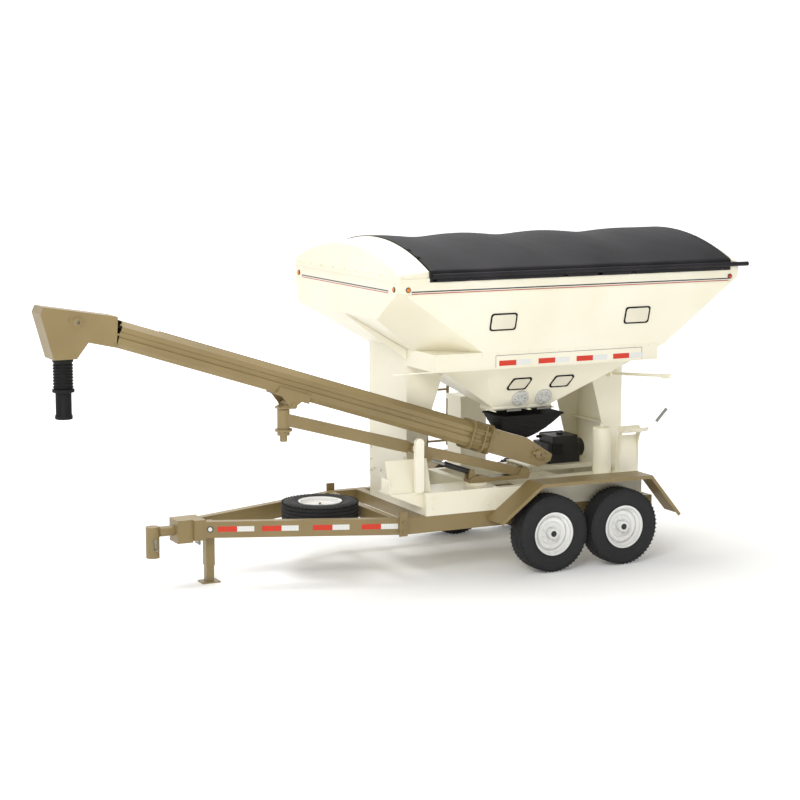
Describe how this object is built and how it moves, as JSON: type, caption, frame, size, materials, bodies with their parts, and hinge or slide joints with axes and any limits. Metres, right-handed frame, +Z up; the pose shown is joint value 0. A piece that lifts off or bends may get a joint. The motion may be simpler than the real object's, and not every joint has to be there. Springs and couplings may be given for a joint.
{
  "type": "seed tender trailer",
  "caption": "Tandem-axle seed tender trailer with a two-compartment side-discharge hopper, roll tarp and swing-out belt conveyor on an A-frame tongue.",
  "frame": {"origin": "centre of the jack foot's underside on the ground", "axes": "+X to the rear of the trailer, +Y to its right side, away from the conveyor, +Z up"},
  "size_m": [7.25, 2.5733, 3.3298],
  "materials": {
    "cream_paint": "satin",
    "tan_paint": "satin",
    "white_paint": "gloss",
    "black_paint": "satin",
    "zinc_steel": "satin",
    "tyre_rubber": "matte",
    "black_rubber": "matte",
    "belt_rubber": "matte",
    "tarp_vinyl": "satin",
    "engine_iron": "satin",
    "window_pane": "gloss",
    "lamp_lens": "gloss",
    "cap_plastic": "satin"
  },
  "bodies": {
    "chassis": {"axle_beams": "tan_paint", "base_frame": "cream_paint", "cradles": "cream_paint", "cross_members": "tan_paint", "end_caps": "cream_paint", "engine": "engine_iron", "fenders": "tan_paint", "hitch_head": "tan_paint", "hopper_belt": "cream_paint", "hopper_divider": "cream_paint", "hopper_legs": "cream_paint", "hopper_shell": "cream_paint", "jack_tube": "tan_paint", "ladder": "tan_paint", "main_rails": "tan_paint", "marker_lights": "lamp_lens", "oil_tank": "cream_paint", "sight_windows": "window_pane", "spare_rim": "white_paint", "spare_tyre": "tyre_rubber", "tarp": "tarp_vinyl", "tarp_bows": "zinc_steel", "tongue_rails": "tan_paint", "tool_box": "cream_paint", "window_seals": "black_rubber"},
    "jack_leg": {"jack_leg": "tan_paint"},
    "jack_crank": {"jack_crank": "zinc_steel"},
    "hitch_latch": {"hitch_latch": "zinc_steel"},
    "roll_tube": {"roll_tube": "zinc_steel"},
    "tarp_crank": {"tarp_crank": "zinc_steel"},
    "gate_front": {"gate_front": "zinc_steel"},
    "gate_rear": {"gate_rear": "zinc_steel"},
    "cleanout_cap_front": {"cleanout_cap_front": "cap_plastic"},
    "cleanout_cap_rear": {"cleanout_cap_rear": "cap_plastic"},
    "turret": {"turret": "tan_paint"},
    "arm": {"swing_arm": "tan_paint"},
    "lift_barrel": {"lift_barrel": "black_paint"},
    "lift_rod": {"lift_rod": "zinc_steel"},
    "knuckle": {"knuckle": "tan_paint"},
    "conveyor": {"conveyor_saddle": "tan_paint", "conveyor_tube": "tan_paint", "tube_clamps": "tan_paint", "tail_box": "tan_paint", "intake_boot": "black_rubber", "head_hood": "tan_paint", "drive_motor": "black_paint", "spout_sleeve": "black_rubber", "conveyor_belt": "belt_rubber"},
    "spout_tube": {"spout_tube": "black_rubber"},
    "head_pulley": {"head_pulley": "zinc_steel"},
    "tail_pulley": {"tail_pulley": "zinc_steel"},
    "wheel_front_left": {"tyre_front_left": "tyre_rubber", "rim_front_left": "white_paint"},
    "wheel_front_right": {"tyre_front_right": "tyre_rubber", "rim_front_right": "white_paint"},
    "wheel_rear_left": {"tyre_rear_left": "tyre_rubber", "rim_rear_left": "white_paint"},
    "wheel_rear_right": {"tyre_rear_right": "tyre_rubber", "rim_rear_right": "white_paint"}
  },
  "joints": [
    {"name": "wheel_spin_front_left", "type": "hinge", "parent": "chassis", "child": "wheel_front_left", "pos_m": [3.23, -1.03, 0.391], "axis": [0, 1, 0], "continuous": true},
    {"name": "wheel_spin_front_right", "type": "hinge", "parent": "chassis", "child": "wheel_front_right", "pos_m": [3.23, 1.03, 0.391], "axis": [0, 1, 0], "continuous": true},
    {"name": "wheel_spin_rear_left", "type": "hinge", "parent": "chassis", "child": "wheel_rear_left", "pos_m": [4.05, -1.03, 0.391], "axis": [0, 1, 0], "continuous": true},
    {"name": "wheel_spin_rear_right", "type": "hinge", "parent": "chassis", "child": "wheel_rear_right", "pos_m": [4.05, 1.03, 0.391], "axis": [0, 1, 0], "continuous": true},
    {"name": "jack_crank_turn", "type": "hinge", "parent": "chassis", "child": "jack_crank", "pos_m": [0, 0.2, 0.44], "axis": [0, 1, 0], "range_deg": [0, 1070]},
    {"name": "jack_leg_slide", "type": "slide", "parent": "chassis", "child": "jack_leg", "axis": [0, 0, 1], "range_m": [0, 0.15]},
    {"name": "hitch_latch_swing", "type": "hinge", "parent": "chassis", "child": "hitch_latch", "pos_m": [-0.575, -0.073, 0.47], "axis": [0, 1, 0], "range_deg": [-70, 70]},
    {"name": "tarp_roll_turn", "type": "hinge", "parent": "chassis", "child": "roll_tube", "pos_m": [3.6, -1.2603, 3.02], "axis": [1, 0, 0], "continuous": true},
    {"name": "crank_swing", "type": "hinge", "parent": "chassis", "child": "tarp_crank", "pos_m": [5.43, -1.2903, 3.01], "axis": [-1, 0, 0], "range_deg": [0, 35]},
    {"name": "gate_front_slide", "type": "slide", "parent": "chassis", "child": "gate_front", "axis": [0, -1, 0], "range_m": [0, 0.22]},
    {"name": "gate_rear_slide", "type": "slide", "parent": "chassis", "child": "gate_rear", "axis": [0, -1, 0], "range_m": [0, 0.22]},
    {"name": "cleanout_turn_front", "type": "hinge", "parent": "chassis", "child": "cleanout_cap_front", "pos_m": [3.04, -0.75039, 1.72638], "axis": [0, -0.8638, -0.5039], "range_deg": [0, 90]},
    {"name": "cleanout_turn_rear", "type": "hinge", "parent": "chassis", "child": "cleanout_cap_rear", "pos_m": [3.31, -0.75039, 1.72638], "axis": [0, -0.8638, -0.5039], "range_deg": [0, 90]},
    {"name": "turret_swing", "type": "hinge", "parent": "chassis", "child": "turret", "pos_m": [2.64, -0.6, 0.9], "axis": [0, 0, 1], "range_deg": [0, 90]},
    {"name": "arm_lift", "type": "hinge", "parent": "turret", "child": "arm", "pos_m": [3.155, -0.6, 0.935], "axis": [0, 1, 0], "range_deg": [0, 3]},
    {"name": "lift_barrel_pivot", "type": "hinge", "parent": "turret", "child": "lift_barrel", "pos_m": [2.562, -0.6, 0.985], "axis": [0, 1, 0], "range_deg": [0, 6.5]},
    {"name": "lift_rod_slide", "type": "slide", "parent": "lift_barrel", "child": "lift_rod", "axis": [-0.944, 0, 0.33], "range_m": [0, 0.0096]},
    {"name": "knuckle_swivel", "type": "hinge", "parent": "arm", "child": "knuckle", "pos_m": [0.545, -0.6, 1.6], "axis": [0, 0, 1], "range_deg": [-60, 0]},
    {"name": "conveyor_tilt", "type": "hinge", "parent": "knuckle", "child": "conveyor", "pos_m": [0.59, -0.6, 1.8], "axis": [0, 1, 0], "range_deg": [-0.4, 0.4]},
    {"name": "spout_slide", "type": "slide", "parent": "conveyor", "child": "spout_tube", "axis": [0, 0, 1], "range_m": [0, 0.2]},
    {"name": "head_pulley_turn", "type": "hinge", "parent": "conveyor", "child": "head_pulley", "pos_m": [-1.50701, -0.6, 2.68713], "axis": [0, 1, 0], "continuous": true},
    {"name": "tail_pulley_turn", "type": "hinge", "parent": "conveyor", "child": "tail_pulley", "pos_m": [3.28632, -0.6, 1.12969], "axis": [0, 1, 0], "continuous": true}
  ],
  "couplings": [
    {"joint": "jack_leg_slide", "follows": "jack_crank_turn", "m_per_rad": 0.008},
    {"joint": "lift_barrel_pivot", "follows": "arm_lift", "ratio": 2.13},
    {"joint": "lift_rod_slide", "follows": "arm_lift", "m_per_rad": 0.175},
    {"joint": "tail_pulley_turn", "follows": "head_pulley_turn", "ratio": 1}
  ]
}
